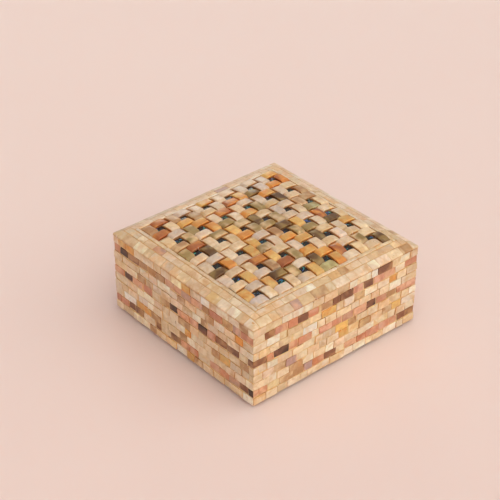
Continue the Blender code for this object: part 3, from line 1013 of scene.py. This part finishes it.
def panel_bed():
    """Points and quads of the resin under the panel, with a pocket under each paua square."""
    panel = bpy.context.scene.woven_panel
    pitch = 2 * PANEL_HALF / panel.repeats
    cuts = np.array([0, 0.18, panel.share - 0.003, panel.share + 0.003, 0.5])
    cuts = np.concatenate([cuts, 1 - cuts[3:0:-1]])
    steps = (np.arange(panel.repeats)[:, None] + cuts).ravel()
    lines = -PANEL_HALF + np.append(steps, panel.repeats) * pitch
    x, y = np.meshgrid(lines, lines, indexing="ij")
    off_x, off_y = [np.abs(np.mod(way + PANEL_HALF, pitch) - pitch / 2) for way in (x, y)]
    pocket = np.maximum(off_x, off_y) < (0.5 - panel.share) * pitch
    depth = np.where(pocket, POCKET_DEPTH, panel.floor_depth)
    return slab(x, y, depth, POCKET_BOTTOM)


class SHELLBOX_OT_lid_resin(bpy.types.Operator):
    """Pour the resin under the tiles of the lid's top"""

    bl_idname = "shellbox.lid_resin"
    bl_label = "Lid resin"

    def execute(self, context):
        colours = context.scene.shell_colours
        points, quads = border_bed()
        pale = resin_finish("border_resin", colours.pale_resin, 0.4)
        border = build_mesh("border_resin", worn_corners(points), quads, pale)
        # The deep resin's colour is partly painted shade of the gaps under the crowned tiles
        deep = resin_finish("shaded_deep_resin", colours.shaded_deep_resin)
        floor = build_mesh("panel_resin", *panel_bed(), deep)
        for piece in (border, floor):
            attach(piece, "root")
        return {"FINISHED"}


class SHELLBOX_OT_wood(bpy.types.Operator):
    """Finish the wood of the body and the lid"""

    bl_idname = "shellbox.wood"
    bl_label = "Wood"

    def execute(self, context):
        finish = wood_finish()
        for node in ("box_body", "lid_wood"):
            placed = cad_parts[node]
            placed.data.materials.clear()
            placed.data.materials.append(finish)
        return {"FINISHED"}


class SHELLBOX_OT_stage(bpy.types.Operator):
    """Set the floor, the lights and the camera"""

    bl_idname = "shellbox.stage"
    bl_label = "Stage"

    def execute(self, context):
        scene = context.scene
        studio = scene.studio
        inside = {"Subsurface_Weight": 1.0, "Subsurface_Scale": 0.03, "Subsurface_Radius": (1.0, 0.95, 0.9)}
        finish = Finish("pale_floor", Roughness=0.7, **inside)
        place = finish.node("ShaderNodeTexCoord", output="Object")
        paper = finish.noise(place, 3.0, 2)
        pale = rgba(studio.floor)
        warm = (pale[0] * 0.985, pale[1] * 0.97, pale[2] * 0.965, 1.0)
        floor_material = finish.feed(Base_Color=finish.blend(paper, pale, warm))
        corners = FLOOR_HALF * np.array([(-1, -1, 0), (1, -1, 0), (1, 1, 0), (-1, 1, 0)], float)
        floor = build_mesh("floor", corners, np.array([[0, 1, 2, 3]]), floor_material)
        world = bpy.data.worlds.new("soft_light")
        world.use_nodes = True
        background = world.node_tree.nodes["Background"]
        background.inputs["Color"].default_value = SKY_COLOUR
        background.inputs["Strength"].default_value = studio.sky
        scene.world = world
        # Name, strength, spread in degrees and direction
        lights = (
            ("key", studio.key, 135, direction(studio.key_azimuth, studio.key_elevation)),
            ("overhead", studio.overhead, 80, Vector((0, 0, 1))),
            ("glint", studio.glint, 12, direction(math.radians(-125), math.radians(18))),
        )
        for name, strength, spread, towards in lights:
            light = bpy.data.lights.new(name, "SUN")
            light.energy = strength
            light.angle = math.radians(spread)
            light.color = LIGHT_COLOUR
            aimed(name, light, towards)
        lens = bpy.data.cameras.new("camera")
        lens.lens = studio.lens
        lens.sensor_width = 36
        back = direction(studio.azimuth, studio.elevation)
        scene.camera = aimed("camera", lens, back)
        scene.camera.location = TARGET + back * studio.distance
        scene.view_settings.view_transform = "Standard"
        return {"FINISHED"}


def direction(azimuth, elevation):
    """Unit vector from the box towards an azimuth, counted from -Y towards +X, and an elevation."""
    flat = math.cos(elevation)
    return Vector((math.sin(azimuth) * flat, -math.cos(azimuth) * flat, math.sin(elevation)))


def aimed(name, data, towards):
    """Adds a light or a camera that looks back along a direction."""
    placed = bpy.data.objects.new(name, data)
    placed.rotation_euler = towards.to_track_quat("Z", "Y").to_euler()
    bpy.context.scene.collection.objects.link(placed)
    return placed


OPERATORS = (
    SHELLBOX_OT_sides,
    SHELLBOX_OT_border,
    SHELLBOX_OT_lid_resin,
    SHELLBOX_OT_woven_panel,
    SHELLBOX_OT_paua,
    SHELLBOX_OT_wood,
    SHELLBOX_OT_stage,
)
GROUPS = dict(
    tile_sizes=TileSizes, lid_shape=LidShape, woven_panel=WovenPanel, shell_colours=ShellColours, studio=Studio
)


class SHELLBOX_PT_panel(bpy.types.Panel):
    """Lists the sizes, the colours and the steps"""

    bl_idname = "SHELLBOX_PT_panel"
    bl_label = "Shell box"
    bl_space_type = "VIEW_3D"
    bl_region_type = "UI"
    bl_category = "Shell box"

    def draw(self, context):
        for name, group in GROUPS.items():
            box = self.layout.box()
            box.label(text=name.replace("_", " "))
            for field in group.__annotations__:
                box.prop(getattr(context.scene, name), field)
        for operator in OPERATORS:
            self.layout.operator(operator.bl_idname)


def register():
    for group in GROUPS.values():
        bpy.utils.register_class(group)
    for name, group in GROUPS.items():
        setattr(bpy.types.Scene, name, bpy.props.PointerProperty(type=group))
    for cls in (*OPERATORS, SHELLBOX_PT_panel):
        bpy.utils.register_class(cls)


def unregister():
    for cls in (SHELLBOX_PT_panel, *reversed(OPERATORS)):
        bpy.utils.unregister_class(cls)
    for name, group in GROUPS.items():
        delattr(bpy.types.Scene, name)
        bpy.utils.unregister_class(group)


def main():
    """Builds the scene."""
    register()
    bpy.ops.shellbox.sides()
    bpy.ops.shellbox.border()
    bpy.ops.shellbox.lid_resin()
    bpy.ops.shellbox.woven_panel()
    bpy.ops.shellbox.paua()
    bpy.ops.shellbox.wood()
    bpy.ops.shellbox.stage()


if __name__ == "__main__":
    main()
